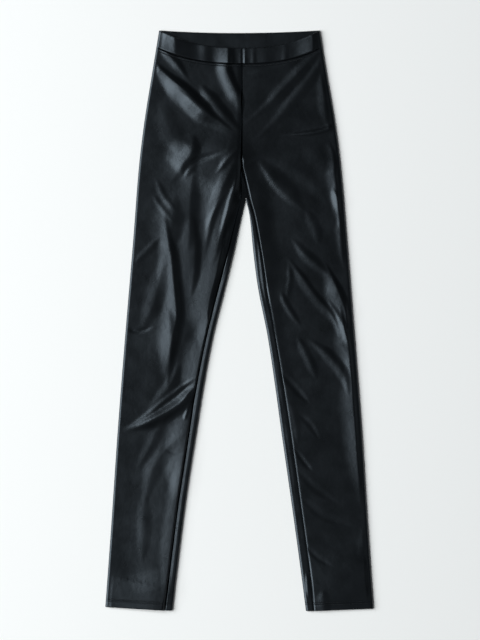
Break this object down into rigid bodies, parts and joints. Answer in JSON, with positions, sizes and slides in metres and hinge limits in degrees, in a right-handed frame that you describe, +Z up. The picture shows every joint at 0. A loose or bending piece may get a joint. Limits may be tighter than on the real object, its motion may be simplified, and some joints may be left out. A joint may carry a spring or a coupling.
{
  "type": "faux leather leggings",
  "caption": "Black faux leather leggings laid flat, front up: smooth fronts with soft drag folds, inseams rolled forward, curved elastic waistband and stitched hems.",
  "frame": {"origin": "middle of the flat garment's outline, on the surface it lies on", "axes": "+Y up the legs to the waist, +X to the wearer's left, +Z up from the surface through the front of the garment"},
  "size_m": [0.4553, 0.9868, 0.0122],
  "materials": {
    "faux_leather": "smooth black polyurethane coating with a soft satin gloss and fine grain",
    "thread": "black polyester topstitching thread"
  },
  "bodies": {
    "root": {"front_right": "faux_leather", "front_left": "faux_leather", "back_right": "faux_leather", "back_left": "faux_leather", "waistband_right": "faux_leather", "waistband_left": "faux_leather"}
  },
  "joints": []
}
